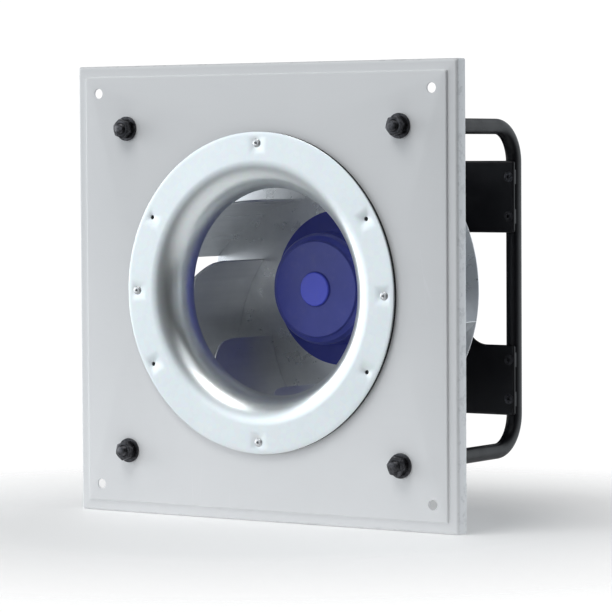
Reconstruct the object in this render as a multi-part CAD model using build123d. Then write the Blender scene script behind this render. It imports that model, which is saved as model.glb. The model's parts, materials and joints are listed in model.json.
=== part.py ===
from build123d import *
import os
from math import sin, cos, tan, pi, radians, degrees, sqrt, atan2

# Centrifugal plug fan: a square inlet panel with a bell-mouth nozzle, two U-shaped support tubes,
# a motor plate across them, and an external-rotor motor that carries a backward-curved impeller.
# Frame: millimetres, +X right seen from the inlet side, +Y along the fan axis away from the inlet, +Z up.
# Origin: on the fan axis, in the front face of the inlet panel.

# ---------------------------------------------------------------- driving dimensions
PANEL = 500.0            # square panel, outside
PANEL_T = 2.0            # sheet thickness
PANEL_STEP = 2.5         # border strip set back from the main face
PANEL_BORDER = 12.0      # border strip width
PANEL_DEPTH = 18.5       # rear edge of the folded flanges
PANEL_BEND = 3.5         # outer bend radius
PANEL_OPENING_R = 150.0  # opening behind the nozzle flange
HOLE_POS = 219.5         # corner mounting holes, from the axis in X and Z
HOLE_R = 5.5
STUD_POS = 180.0         # support studs and tube centre lines
STUD_R = 6.0             # M12
STUD_PROUD = 16.0
NUT_AF = 19.0
NUT_H = 10.0
WASHER_R = 13.5
WASHER_T = 2.5

NOZ_R = 175.4            # nozzle flange
NOZ_T = 1.5
NOZ_FACE = -5.5
NOZ_BEND_R = 145.0       # where the flat flange ends
NOZ_THROAT = 114.0       # throat, inside
NOZ_END = 35.0
RIVET_PCR = 163.0

TUBE_OD = 17.2
TUBE_T = 1.5
TUBE_BACK = 238.0        # centre of the upright legs
TUBE_BEND = 40.0
TUBE_START = 4.5

IMP_R = 177.5            # impeller diameter 355
BP_FRONT = 165.0         # back plate, front face
BP_T = 2.0
BLADES = 8
BL_R1 = 114.0            # blade leading edge radius
BL_TE_DEG = -10.95       # one blade's trailing edge angle at rest
BL_SWEEP = 49.5
BL_T = 2.2
BL_BETA1 = 23.5
SHROUD_T = 1.8

ROT_R = 62.5             # rotor cup
ROT_FACE = 108.0
ROT_FACE_R = 53.5
ROT_IN = 58.0
ROT_FLANGE_R = 88.0
MAG_T = 4.6
STATOR_R = 52.6
SHAFT_R = 6.0

B_OR, B_IR, B_W = 16.0, 6.0, 10.0     # 12 x 32 x 10 ball bearing
B_PR, B_BALL, B_N = 11.0, 2.8, 7
B_FRONT, B_REAR = 126.0, 192.0        # front faces of the two bearings

HOUS_FRONT = 177.0
HOUS_R = 82.0
HOUS_REAR = 225.5
MP_Y = 225.5             # motor plate, front face
MP_T = 3.0
MP_X = 187.0
MP_Z = 142.0
MP_SLOT_X = 125.0
MP_SLOT_TOP, MP_SLOT_LOW = 61.8, -63.6

os.makedirs("parts", exist_ok=True)


# ---------------------------------------------------------------- helpers
def disc(r, y0, y1, x=0.0, z=0.0):
    """Cylinder along +Y from y0 to y1."""
    return Pos(x, (y0 + y1) / 2, z) * (Rot(90, 0, 0) * Cylinder(r, y1 - y0))


def ring(ro, ri, y0, y1, x=0.0, z=0.0):
    return disc(ro, y0, y1, x, z) - disc(ri, y0 - 1, y1 + 1, x, z)


def box(x0, x1, y0, y1, z0, z1):
    return Pos((x0 + x1) / 2, (y0 + y1) / 2, (z0 + z1) / 2) * Box(x1 - x0, y1 - y0, z1 - z0)


def lathe(points):
    """Solid of revolution about Y from a closed (radius, y) outline."""
    w = Wire.make_polygon([Vector(r, y, 0) for r, y in points], close=True)
    return revolve(Face(w), Axis.Y, 360)


def lathe_sheet(curve, t):
    """Revolved sheet of thickness t about a list of (radius, y) centre-line points."""
    n = len(curve)
    left, right = [], []
    for i, (r, y) in enumerate(curve):
        a = curve[max(i - 1, 0)]
        b = curve[min(i + 1, n - 1)]
        dr, dy = b[0] - a[0], b[1] - a[1]
        k = t / 2 / sqrt(dr * dr + dy * dy)
        left.append(Vector(r - dy * k, y + dr * k, 0))
        right.append(Vector(r + dy * k, y - dr * k, 0))
    e1 = Edge.make_spline(left)
    e3 = Edge.make_spline(right[::-1])
    e2 = Edge.make_line(left[-1], right[-1])
    e4 = Edge.make_line(right[0], left[0])
    return revolve(Face(Wire([e1, e2, e3, e4])), Axis.Y, 360)


def hex_y(af, y0, y1, x=0.0, z=0.0, turn=0.0, front=True, back=False):
    """Hexagonal prism along Y with turned (chamfered) ends."""
    h = y1 - y0
    body = Pos(x, y0, z) * (Rot(-90, 0, 0) * (Rot(0, 0, turn) * extrude(RegularPolygon(af / 2, 6, major_radius=False), h)))
    c = af / 2 * 0.96
    R = af / sqrt(3) + 0.4
    d = (R - c) * 0.5
    pts = [(0.0, y0)]
    pts += [(c, y0), (R, y0 + d)] if front else [(R, y0)]
    pts += [(R, y1 - d), (c, y1)] if back else [(R, y1)]
    pts += [(0.0, y1)]
    return body & (Pos(x, 0, z) * lathe(pts))


def bezier(p, n=24):
    out = []
    for i in range(n + 1):
        t = i / n
        q = [tuple(v) for v in p]
        while len(q) > 1:
            q = [((1 - t) * a[0] + t * b[0], (1 - t) * a[1] + t * b[1]) for a, b in zip(q, q[1:])]
        out.append(q[0])
    return out


def polar(obj, n, start=0.0):
    return [Rot(0, -(start + 360.0 / n * i), 0) * obj for i in range(n)]


def group(items, label):
    c = Compound(children=[s for it in items for s in it.solids()])
    c.label = label
    return c


NODES = {}


def put(name, shape):
    if isinstance(shape, (list, tuple)):
        shape = group(shape, name)
    NODES[name] = shape


SIGNS = [(-1, 1), (1, 1), (1, -1), (-1, -1)]

# ---------------------------------------------------------------- inlet panel
h = PANEL / 2
m = h - PANEL_BORDER
tray = box(-h, h, PANEL_STEP, PANEL_DEPTH, -h, h)
tray = fillet(tray.edges().filter_by(Axis.Y), 2.0)
tray = fillet(tray.faces().sort_by(Axis.Y)[0].edges(), PANEL_BEND)
inner = box(-h + PANEL_T, h - PANEL_T, PANEL_STEP + PANEL_T, PANEL_DEPTH + 5, -h + PANEL_T, h - PANEL_T)
inner = fillet(inner.faces().sort_by(Axis.Y)[0].edges(), PANEL_BEND - PANEL_T)
tray = tray - inner
raised = box(-m, m, 0.0, PANEL_STEP + PANEL_T, -m, m)
raised = fillet(raised.edges().filter_by(Axis.Y), 2.5)
raised = fillet(raised.faces().sort_by(Axis.Y)[0].edges(), 1.6)
mi = m - PANEL_T
pocket = box(-mi, mi, PANEL_T, PANEL_DEPTH, -mi, mi)
panel = tray + raised - pocket
panel = panel - disc(PANEL_OPENING_R, -5, 10)
for sx, sz in SIGNS:
    panel = panel - disc(HOLE_R, -5, 10, sx * HOLE_POS, sz * HOLE_POS)
    panel = panel - disc(STUD_R + 0.5, -5, 10, sx * STUD_POS, sz * STUD_POS)
for k in range(4):
    a = radians(90 * k)
    panel = panel - disc(2.45, -5, 10, RIVET_PCR * cos(a), RIVET_PCR * sin(a))
for a in (30, 150, 210, 330):
    a = radians(a)
    panel = panel - disc(2.3, -5, 10, RIVET_PCR * cos(a), RIVET_PCR * sin(a))
# narrow corner slits where neighbouring flanges meet
for sx, sz in SIGNS:
    slit = box(h - 6.0, h + 3.0, PANEL_STEP + 5.0, PANEL_DEPTH + 1, h - 0.25, h + 0.25)
    slit = Pos(0, 0, -PANEL_T / 2) * slit
    slit = slit if sx > 0 else mirror(slit, Plane.YZ)
    slit = slit if sz > 0 else mirror(slit, Plane.XY)
    panel = panel - (slit & box(-h - 1, h + 1, 0, 40, -h - 1, h + 1))
put("inlet_panel", panel)

# ---------------------------------------------------------------- inlet nozzle, its gasket and rivets
cy = NOZ_FACE + NOZ_T / 2
rt = NOZ_THROAT + NOZ_T / 2
ya = 31.0
bell = []
for k in range(0, 31):
    f = radians(90 * k / 30)
    bell.append((NOZ_BEND_R - (NOZ_BEND_R - rt) * sin(f), ya - (ya - cy) * cos(f)))


def bell_side(k):
    """Bell curve offset by k, with exact radial and axial ends."""
    out = []
    for i, (r, y) in enumerate(bell):
        f = radians(90 * i / 30)
        tr_, ty_ = -(NOZ_BEND_R - rt) * cos(f), (ya - cy) * sin(f)
        q = k / sqrt(tr_ * tr_ + ty_ * ty_)
        out.append(Vector(r - ty_ * q, y + tr_ * q, 0))
    return out


fr, bk = bell_side(NOZ_T / 2), bell_side(-NOZ_T / 2)
e = []
ft, bt_ = (Vector(-1, 0, 0), Vector(0, 1, 0)), (Vector(0, -1, 0), Vector(1, 0, 0))
e.append(Edge.make_line(Vector(NOZ_R, fr[0].Y, 0), fr[0]))
e.append(Edge.make_spline(fr, tangents=ft))
e.append(Edge.make_line(fr[-1], Vector(fr[-1].X, NOZ_END, 0)))
e.append(Edge.make_line(Vector(fr[-1].X, NOZ_END, 0), Vector(bk[-1].X, NOZ_END, 0)))
e.append(Edge.make_line(Vector(bk[-1].X, NOZ_END, 0), bk[-1]))
e.append(Edge.make_spline(bk[::-1], tangents=bt_))
e.append(Edge.make_line(bk[0], Vector(NOZ_R, bk[0].Y, 0)))
e.append(Edge.make_line(Vector(NOZ_R, bk[0].Y, 0), Vector(NOZ_R, fr[0].Y, 0)))
nozzle = revolve(Face(Wire(e)), Axis.Y, 360)
gasket = ring(NOZ_R - 0.2, PANEL_OPENING_R, NOZ_FACE + NOZ_T, 0.0)
for k in range(4):
    a = radians(90 * k)
    hole = disc(2.45, -8, 4, RIVET_PCR * cos(a), RIVET_PCR * sin(a))
    nozzle -= hole
    gasket -= hole
for a in (30, 150, 210, 330):
    a = radians(a)
    hole = disc(2.3, -8, 4, RIVET_PCR * cos(a), RIVET_PCR * sin(a))
    nozzle -= hole
    gasket -= hole
put("inlet_nozzle", nozzle)
put("nozzle_gasket", gasket)

riv = lathe([(0, NOZ_FACE + 1.2), (1.35, NOZ_FACE + 1.2), (1.35, NOZ_FACE - 1.55), (2.2, NOZ_FACE - 1.5), (3.4, NOZ_FACE - 1.15),
             (4.3, NOZ_FACE - 0.55), (4.8, NOZ_FACE), (2.4, NOZ_FACE), (2.4, PANEL_T), (3.5, PANEL_T), (3.7, PANEL_T + 1.4),
             (3.0, PANEL_T + 2.6), (1.2, PANEL_T + 3.2), (0, PANEL_T + 3.2)])
put("nozzle_rivets", [Pos(RIVET_PCR * cos(radians(90 * k)), 0, RIVET_PCR * sin(radians(90 * k))) * riv for k in range(4)])

# ---------------------------------------------------------------- support tubes and their panel studs
tr = TUBE_OD / 2
ti = tr - TUBE_T


def tube_path(x):
    s, b, r = STUD_POS, TUBE_BACK, TUBE_BEND
    k = r * (1 - cos(radians(45)))
    p = [Vector(x, TUBE_START, s), Vector(x, b - r, s), Vector(x, b - k, s - k), Vector(x, b, s - r),
         Vector(x, b, -s + r), Vector(x, b - k, -s + k), Vector(x, b - r, -s), Vector(x, TUBE_START, -s)]
    return Wire([Edge.make_line(p[0], p[1]), Edge.make_three_point_arc(p[1], p[2], p[3]), Edge.make_line(p[3], p[4]),
                 Edge.make_three_point_arc(p[4], p[5], p[6]), Edge.make_line(p[6], p[7])])


def make_tube(x):
    w = tube_path(x)
    pl = Plane(origin=(x, TUBE_START, STUD_POS), z_dir=(0, 1, 0))
    return sweep(pl * (Circle(tr) - Circle(ti)), path=w)


PB_Z = (80.0, 124.0)     # motor plate screws, from the axis in Z
PB_R = 3.0               # M6
INS_R = 4.5              # threaded insert in the tube wall
pb = [(sx * STUD_POS, sz * z) for sx in (-1, 1) for sz in (-1, 1) for z in PB_Z]
for name, sx in (("left_support_tube", -1), ("right_support_tube", 1)):
    t = make_tube(sx * STUD_POS)
    for x, z in pb:
        if x * sx > 0:
            t = t - disc(INS_R + 0.1, 220, TUBE_BACK - 1.0, x, z)
    put(name, t)

bush = ring(ti - 0.03, STUD_R + 0.02, TUBE_START + 0.4, TUBE_START + 32)
put("tube_end_bushes", [Pos(sx * STUD_POS, 0, sz * STUD_POS) * bush for sx, sz in SIGNS])
stud = lathe([(0, -STUD_PROUD), (STUD_R - 1.2, -STUD_PROUD), (STUD_R, -STUD_PROUD + 1.2), (STUD_R, TUBE_START + 27), (STUD_R - 1.0, TUBE_START + 28), (0, TUBE_START + 28)])
put("support_studs", [Pos(sx * STUD_POS, 0, sz * STUD_POS) * stud for sx, sz in SIGNS])
wsh = ring(WASHER_R, STUD_R + 0.4, -WASHER_T, 0.0)
put("stud_washers", [Pos(sx * STUD_POS, 0, sz * STUD_POS) * wsh for sx, sz in SIGNS])
put("rear_washers", [Pos(sx * STUD_POS, 0, sz * STUD_POS) * ring(14.0, STUD_R + 0.4, PANEL_T, TUBE_START) for sx, sz in SIGNS])
turns = {(-1, 1): 12, (1, 1): 41, (1, -1): 22, (-1, -1): 50}
put("stud_nuts", [hex_y(NUT_AF, -WASHER_T - NUT_H, -WASHER_T, sx * STUD_POS, sz * STUD_POS, turns[(sx, sz)], True, True)
                  - disc(STUD_R + 0.02, -30, 5, sx * STUD_POS, sz * STUD_POS) for sx, sz in SIGNS])

# ---------------------------------------------------------------- motor plate across the upright legs
mp = box(-MP_X, MP_X, MP_Y, MP_Y + MP_T, -MP_Z, MP_Z)
for sx in (-1, 1):
    n0, n1 = sorted((sx * MP_SLOT_X, sx * (MP_X + 10)))
    notch = box(n0, n1, MP_Y - 5, MP_Y + 5, MP_SLOT_LOW, MP_SLOT_TOP)
    for zc, rc in ((MP_SLOT_TOP, 5.0), (MP_SLOT_LOW, 26.0)):
        ed = [e for e in notch.edges().filter_by(Axis.Y) if abs(e.center().X - sx * MP_SLOT_X) < 1 and abs(e.center().Z - zc) < 1]
        notch = fillet(ed, rc)
    mp = mp - notch
ed = [e for e in mp.edges().filter_by(Axis.Y) if abs(abs(e.center().X) - MP_X) < 1]
mp = fillet(ed, 3.0)
# stiffening lips folded backwards along the top and bottom edges, between the tubes
for sz in (-1, 1):
    z0, z1 = sorted((sz * MP_Z, sz * (MP_Z - MP_T)))
    lip = box(-160, 160, MP_Y + MP_T - 0.5, MP_Y + 16, z0, z1)
    lip = fillet([e for e in lip.edges().filter_by(Axis.Z) if e.center().Y > MP_Y + 10], 6.0)
    mp = mp + lip
ed = [e for e in mp.edges().filter_by(Axis.X) if abs(abs(e.center().Z) - MP_Z) < 0.01 and abs(e.center().Y - MP_Y) < 0.01]
mp = fillet(ed, 2.4)
COVER_HOLE_R = 66.0
mp = mp - disc(COVER_HOLE_R, MP_Y - 5, MP_Y + 5)
MB_R = 76.0              # motor bolts, pitch radius
for k in range(4):
    a = radians(45 + 90 * k)
    mp = mp - disc(4.4, MP_Y - 5, MP_Y + 5, MB_R * cos(a), MB_R * sin(a))
sink = lathe([(0, MP_Y - 1), (6.1, MP_Y - 1), (6.1, MP_Y + 0.05), (3.15, MP_Y + 3.0), (3.15, MP_Y + 4.0), (0, MP_Y + 4.0)])
for x, z in pb:
    mp = mp - Pos(x, 0, z) * sink
put("motor_plate", mp)

# saddles between the plate and the round tube, countersunk screws and the threaded inserts they run into
tube_legs = [Pos(sx * STUD_POS, TUBE_BACK, 0) * Cylinder(tr + 0.03, 320) for sx in (-1, 1)]
sad_f, scr6, ins6 = [], [], []
head = lathe([(0, MP_Y + 0.25), (5.75, MP_Y + 0.25), (5.75, MP_Y + 0.35), (PB_R, MP_Y + 3.1), (PB_R, MP_Y + 15.2), (PB_R - 0.8, MP_Y + 16.0), (0, MP_Y + 16.0)])
for i, (x, z) in enumerate(pb):
    leg = tube_legs[0] if x < 0 else tube_legs[1]
    f = box(x - 6.4, x + 6.4, MP_Y + MP_T, MP_Y + MP_T + 4.6, z - 8, z + 8)
    sad_f.append(f - leg - disc(INS_R + 0.1, 215, 260, x, z))
    scr6.append(Pos(x, 0, z) * head - hex_y(4.0, MP_Y - 1.0, MP_Y + 2.5, x, z, 7 + 13 * i, False, False))
    ins6.append(ring(INS_R, PB_R + 0.02, MP_Y + MP_T + 0.1, TUBE_BACK + 3.5, x, z))
put("tube_saddles", sad_f)
put("plate_screws", scr6)
put("plate_inserts", ins6)

# ---------------------------------------------------------------- impeller: shroud, back plate, blades
sh_curve = bezier([(117.7, 29.0), (117.7, 46.0), (131.0, 60.0), (IMP_R, 76.5)], 40)
shroud = lathe_sheet(sh_curve, SHROUD_T)
shroud = shroud & disc(IMP_R, 20, 100)
put("impeller_shroud", shroud)

IS_N = 6
IS_R = 77.0
backplate = ring(IMP_R, 66.0, BP_FRONT, BP_FRONT + BP_T)
for k in range(IS_N):
    a = radians(30 + 60 * k)
    backplate = backplate - disc(2.75, BP_FRONT - 2, BP_FRONT + 5, IS_R * cos(a), IS_R * sin(a))
put("impeller_backplate", backplate)

# blade camber line: backward curved, swept through BL_SWEEP degrees between the two radii
def camber():
    n = 160
    ra, rb = BL_R1 - 3.0, IMP_R + 3.0
    def total(b2):
        s, steps = 0.0, 400
        for i in range(steps):
            r = BL_R1 + (IMP_R - BL_R1) * (i + 0.5) / steps
            b = BL_BETA1 + (b2 - BL_BETA1) * (r - BL_R1) / (IMP_R - BL_R1)
            s += (IMP_R - BL_R1) / steps / (r * tan(radians(b)))
        return degrees(s)
    lo, hi = 12.0, 70.0
    for _ in range(60):
        mid = (lo + hi) / 2
        if total(mid) > BL_SWEEP:
            lo = mid
        else:
            hi = mid
    b2 = (lo + hi) / 2
    pts, th = [], 0.0
    step = (rb - ra) / n
    raw = []
    for i in range(n + 1):
        r = ra + step * i
        raw.append((r, th))
        rm = r + step / 2
        b = BL_BETA1 + (b2 - BL_BETA1) * (rm - BL_R1) / (IMP_R - BL_R1)
        th += step / (rm * tan(radians(b)))
    # angle zero at the outer radius
    t_end = None
    for (r0, t0), (r1, t1) in zip(raw, raw[1:]):
        if r0 <= IMP_R <= r1:
            t_end = t0 + (t1 - t0) * (IMP_R - r0) / (r1 - r0)
    return [(r, t - t_end) for r, t in raw], b2


cam, BL_BETA2 = camber()
print("blade angles %.1f -> %.1f deg from tangential" % (BL_BETA1, BL_BETA2))
cam = cam[::8]
pts = [(r * cos(t), r * sin(t)) for r, t in cam]
left, right = [], []
for i, (x, z) in enumerate(pts):
    a, b = pts[max(i - 1, 0)], pts[min(i + 1, len(pts) - 1)]
    dx, dz = b[0] - a[0], b[1] - a[1]
    k = BL_T / 2 / sqrt(dx * dx + dz * dz)
    left.append(Vector(x - dz * k, 40.0, z + dx * k))
    right.append(Vector(x + dz * k, 40.0, z - dx * k))
strip = Face(Wire([Edge.make_spline(left), Edge.make_line(left[-1], right[-1]), Edge.make_spline(right[::-1]), Edge.make_line(right[0], left[0])]))
blade0 = extrude(strip, amount=BP_FRONT - 0.05 - 40.0, dir=(0, 1, 0))
# envelope: behind the shroud, in front of the back plate, leading edge swept forwards and outwards near the shroud
n = len(sh_curve)
flow = []
for i, (r, y) in enumerate(sh_curve):
    a, b = sh_curve[max(i - 1, 0)], sh_curve[min(i + 1, n - 1)]
    dr, dy = b[0] - a[0], b[1] - a[1]
    k = (SHROUD_T / 2 + 0.2) / sqrt(dr * dr + dy * dy)
    flow.append((r - dy * k, y + dr * k))
start = min(range(len(flow)), key=lambda i: abs(flow[i][0] - 122.0) + (0 if flow[i][0] >= 122.0 else 99))
le = bezier([(BL_R1, 84.0), (BL_R1, 62.0), flow[start]], 12)
env = [(BL_R1, BP_FRONT - 0.05)] + le[:-1] + flow[start:-1] + [(IMP_R, flow[-1][1] + 0.0), (IMP_R, BP_FRONT - 0.05)]
envelope = lathe(env)
blade0 = blade0 & envelope
put("impeller_blades", [Rot(0, -(BL_TE_DEG + 45.0 * k), 0) * blade0 for k in range(BLADES)])

bw = []
for a, w in ((72, 5.0), (196, 3.4)):
    a = radians(a)
    wx, wz = (IMP_R - 3.0) * cos(a), (IMP_R - 3.0) * sin(a)
    clip = Pos(wx, 0, wz) * Rot(0, -degrees(a), 0) * (box(-5, 5, BP_FRONT + BP_T, BP_FRONT + BP_T + 1.6, -w, w)
                                                     + box(3.05, 4.4, BP_FRONT - 0.4, BP_FRONT + BP_T + 1.6, -w, w)
                                                     + box(-5, 4.4, BP_FRONT - 1.9, BP_FRONT - 0.3, -w, w))
    bw.append(clip)
put("balance_clips", [c - ring(IMP_R + 0.02, 60, BP_FRONT - 0.3, BP_FRONT + BP_T + 0.02) for c in bw])

# ---------------------------------------------------------------- rotor cup, magnets, shaft
rf = ROT_FACE
cup = lathe([(0, rf - 3.2), (17.6, rf - 3.2), (18.6, rf - 2.7), (19.0, rf - 1.6), (19.4, rf - 0.4), (20.6, rf),
             (ROT_FACE_R - 1.6, rf), (ROT_FACE_R - 0.5, rf + 0.35), (ROT_FACE_R, rf + 1.3), (ROT_FACE_R + 0.3, rf + 2.6), (ROT_FACE_R + 1.2, rf + 3.5),
             (58.3, rf + 5.2), (60.8, rf + 6.8), (62.1, rf + 9.0), (ROT_R, rf + 11.5),
             (ROT_R, 150.0), (63.2, 154.0), (65.4, 157.4), (68.8, 159.4), (73.0, 160.0),
             (ROT_FLANGE_R - 1.0, 160.0), (ROT_FLANGE_R, 161.0), (ROT_FLANGE_R, BP_FRONT), (ROT_IN, BP_FRONT),
             (ROT_IN, rf + 13.0), (55.0, rf + 8.5), (49.0, rf + 5.5), (14.0, rf + 5.5), (12.5, rf + 7.0), (12.0, 123.5), (SHAFT_R + 0.03, 123.5), (SHAFT_R + 0.03, rf - 0.5), (0, rf - 0.5)])
for k in range(IS_N):
    a = radians(30 + 60 * k)
    cup = cup - disc(2.1, 161.2, BP_FRONT + 1, IS_R * cos(a), IS_R * sin(a))
put("rotor_cup", cup)

mags = []
seg = ring(ROT_IN - 0.05, ROT_IN - 0.05 - MAG_T, 124.0, 162.0)
half = radians(33.5 / 2)
for k in range(10):
    a = radians(36 * k)
    w = Wire.make_polygon([Vector(0, 120, 0), Vector(80 * cos(a - half), 120, 80 * sin(a - half)), Vector(80 * cos(a + half), 120, 80 * sin(a + half))], close=True)
    mags.append(seg & extrude(Face(w), amount=50, dir=(0, 1, 0)))
put("rotor_magnets", mags)

shaft = disc(SHAFT_R, rf, B_REAR + B_W + 5.0) - ring(SHAFT_R + 1, SHAFT_R - 0.5, B_REAR + B_W + 0.35, B_REAR + B_W + 1.55)
put("rotor_shaft", shaft)
clip = ring(9.0, SHAFT_R - 0.45, B_REAR + B_W + 0.4, B_REAR + B_W + 1.5) - box(-2.5, 2.5, 150, 250, -12, 0)
put("shaft_circlip", clip)

scr = []
for k in range(IS_N):
    a = radians(30 + 60 * k)
    x, z = IS_R * cos(a), IS_R * sin(a)
    y = BP_FRONT + BP_T
    s = disc(2.05, 161.6, y + 0.5, x, z) + (Pos(x, 0, z) * lathe([(0, y), (4.9, y), (4.9, y + 0.8), (4.4, y + 1.7), (3.2, y + 2.4), (1.5, y + 2.7), (0, y + 2.7)]))
    s = s - hex_y(3.0, y + 1.3, y + 4, x, z, 17 * k, False, False)
    scr.append(s)
put("impeller_screws", scr)

# ---------------------------------------------------------------- bearings
def bearing(y0):
    yc = y0 + B_W / 2
    g = B_BALL + 0.3
    outer = ring(B_OR - 0.02, 12.7, y0, y0 + B_W)
    outer = fillet(outer.edges().filter_by(GeomType.CIRCLE), 0.4)
    inner = ring(9.3, B_IR + 0.03, y0, y0 + B_W)
    inner = fillet(inner.edges().filter_by(GeomType.CIRCLE), 0.4)
    tor = Pos(0, yc, 0) * (Rot(90, 0, 0) * Torus(B_PR, g))
    outer, inner = outer - tor, inner - tor
    balls = [Pos(B_PR * cos(2 * pi * k / B_N), yc, B_PR * sin(2 * pi * k / B_N)) * Sphere(B_BALL) for k in range(B_N)]
    cage = ring(11.8, 10.2, yc - 3.6, yc + 3.6)
    for k in range(B_N):
        a = 2 * pi * k / B_N
        cage = cage - Rot(0, -degrees(a), 0) * (Pos(B_PR, yc, 0) * (Rot(0, 90, 0) * Cylinder(B_BALL + 0.15, 6.0)))
    return outer, inner, balls, cage


for nm, y0 in (("front", B_FRONT), ("rear", B_REAR)):
    o, i, bl, cg = bearing(y0)
    put(nm + "_bearing_outer_ring", o)
    put(nm + "_bearing_inner_ring", i)
    put(nm + "_bearing_balls", bl)
    put(nm + "_bearing_cage", cg)

# ---------------------------------------------------------------- stator: carrier, core, insulators, windings
SF0, SF1, SF_R = 169.0, HOUS_FRONT, 68.0
bt = 21.0                # bearing tube, outside radius
carrier = lathe([(B_OR, B_FRONT - 1.5), (bt - 0.8, B_FRONT - 1.5), (bt, B_FRONT - 0.7), (bt, 163.5), (24.0, 167.0), (30.0, SF0),
                 (SF_R - 1, SF0), (SF_R, SF0 + 1), (SF_R, SF1), (25.0, SF1), (25.0, B_REAR + B_W + 1.0), (24.0, B_REAR + B_W + 2.0), (B_OR + 0.02, B_REAR + B_W + 2.0),
                 (B_OR + 0.02, B_REAR), (13.0, B_REAR), (13.0, B_FRONT + B_W), (B_OR, B_FRONT + B_W)])
SB_R = 46.0
for k in range(4):
    a = radians(45 + 90 * k)
    carrier = carrier - disc(2.75, SF0 - 1, SF1 + 1, SB_R * cos(a), SB_R * sin(a))
put("stator_carrier", carrier)

CORE0, CORE1 = 128.0, 158.0
core = ring(STATOR_R, bt + 0.03, CORE0, CORE1)
slot = box(34.0, 49.0, CORE0 - 1, CORE1 + 1, -5.6, 5.6) + box(48.0, 60.0, CORE0 - 1, CORE1 + 1, -1.3, 1.3)
for s in polar(slot, 12, 15.0):
    core = core - s
put("stator_core", core)


def insulator(y0, y1):
    b = ring(STATOR_R - 1.0, 30.0, y0, y1)
    s = box(35.0, 60.0, y0 - 1, y1 + 1, -5.6, 5.6)
    for q in polar(s, 12, 15.0):
        b = b - q
    return b


put("slot_insulators", [insulator(CORE0 - 2.5, CORE0), insulator(CORE1, CORE1 + 2.5)])
# concentrated coils, one round each tooth
# strips inside the two slots next to the tooth, each half a slot wide
half_a = Rot(0, -15.0, 0) * box(36.6, 46.6, CORE0 - 2.55, CORE1 + 2.55, -5.3, -0.5)
half_b = Rot(0, 15.0, 0) * box(36.6, 46.6, CORE0 - 2.55, CORE1 + 2.55, 0.5, 5.3)


def end_turn(y0, y1):
    # a wedge sector across the tooth, joining the two slot strips
    hw = radians(14.2)
    w = Wire.make_polygon([Vector(0, y0, 0), Vector(90 * cos(-hw), y0, 90 * sin(-hw)), Vector(90 * cos(hw), y0, 90 * sin(hw))], close=True)
    sec = extrude(Face(w), amount=y1 - y0, dir=(0, 1, 0))
    return ring(46.6, 36.6, y0, y1) & sec


et1 = end_turn(CORE0 - 6.3, CORE0 - 2.55)
et2 = end_turn(CORE1 + 2.55, CORE1 + 6.3)
coil = half_a + half_b + et1 + et2
put("stator_windings", polar(coil, 12, 0.0))

# ---------------------------------------------------------------- electronics housing with cooling fins
HF, HB_ = HOUS_FRONT, HOUS_REAR
hous = lathe([(25.3, HF), (HOUS_R - 5, HF), (HOUS_R - 1.5, HF + 1.5), (HOUS_R, HF + 5), (HOUS_R, HB_ - 6.5), (92.0, HB_ - 6.5), (92.0, HB_),
              (53.0, HB_), (53.0, HB_ - 5), (HOUS_R - 5, HB_ - 5), (HOUS_R - 5, HF + 6), (31.0, HF + 6), (31.0, HF + 34), (0, HF + 34), (0, HF + 32), (25.3, HF + 32)])
fin = box(HOUS_R - 2, 91.0, HF + 6, HB_ - 6, -1.1, 1.1)
fins = []
for k in range(36):
    a = 5 + 10 * k
    if abs(a - 270) < 32:
        continue
    fins.append(Rot(0, -a, 0) * fin)
for f in fins:
    hous = hous + f
pad = box(-40, 40, HF + 8, HB_ - 6, -88.0, -70.0) - disc(HOUS_R - 5, HF, HB_)
hous = hous + pad
GL_X = (-20.0, 20.0)
GL_Y = 199.0
for x in GL_X:
    hous = hous - Pos(x, GL_Y, -80) * Cylinder(8.05, 30)
for k in range(4):
    a = radians(45 + 90 * k)
    hous = hous - disc(3.45, HB_ - 12, HB_ + 1, MB_R * cos(a), MB_R * sin(a))
    hous = hous - disc(2.1, HF - 1, HF + 12, SB_R * cos(a), SB_R * sin(a))
# bosses for the motor bolts and the cover screws inside the rear ring
for k in range(4):
    a = radians(45 + 90 * k)
    b = disc(6.5, HB_ - 16, HB_ - 4, MB_R * cos(a), MB_R * sin(a)) - disc(3.45, HB_ - 17, HB_ + 1, MB_R * cos(a), MB_R * sin(a))
    b = b & disc(HOUS_R - 0.5, 100, 300)
    hous = hous + b
    a = radians(90 * k)
    hous = hous - disc(1.75, HB_ - 5.5, HB_ + 1, 58.0 * cos(a), 58.0 * sin(a))
# stand-offs for the circuit board
BD0 = HF + 20.0
for k in range(3):
    a = radians(90 + 120 * k)
    hous = hous + (disc(4.0, HF + 5.5, BD0, 66.0 * cos(a), 66.0 * sin(a)) - disc(1.3, BD0 - 8, BD0 + 1, 66.0 * cos(a), 66.0 * sin(a)))
put("electronics_housing", hous)

ss = []
for k in range(4):
    a = radians(45 + 90 * k)
    x, z = SB_R * cos(a), SB_R * sin(a)
    y = HF + 6
    ss.append(disc(2.05, SF0 + 1.0, y + 0.5, x, z) + disc(4.2, y, y + 4.0, x, z) - hex_y(4.0, y + 1.8, y + 6, x, z, 9 * k, False, False))
put("carrier_screws", ss)

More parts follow.
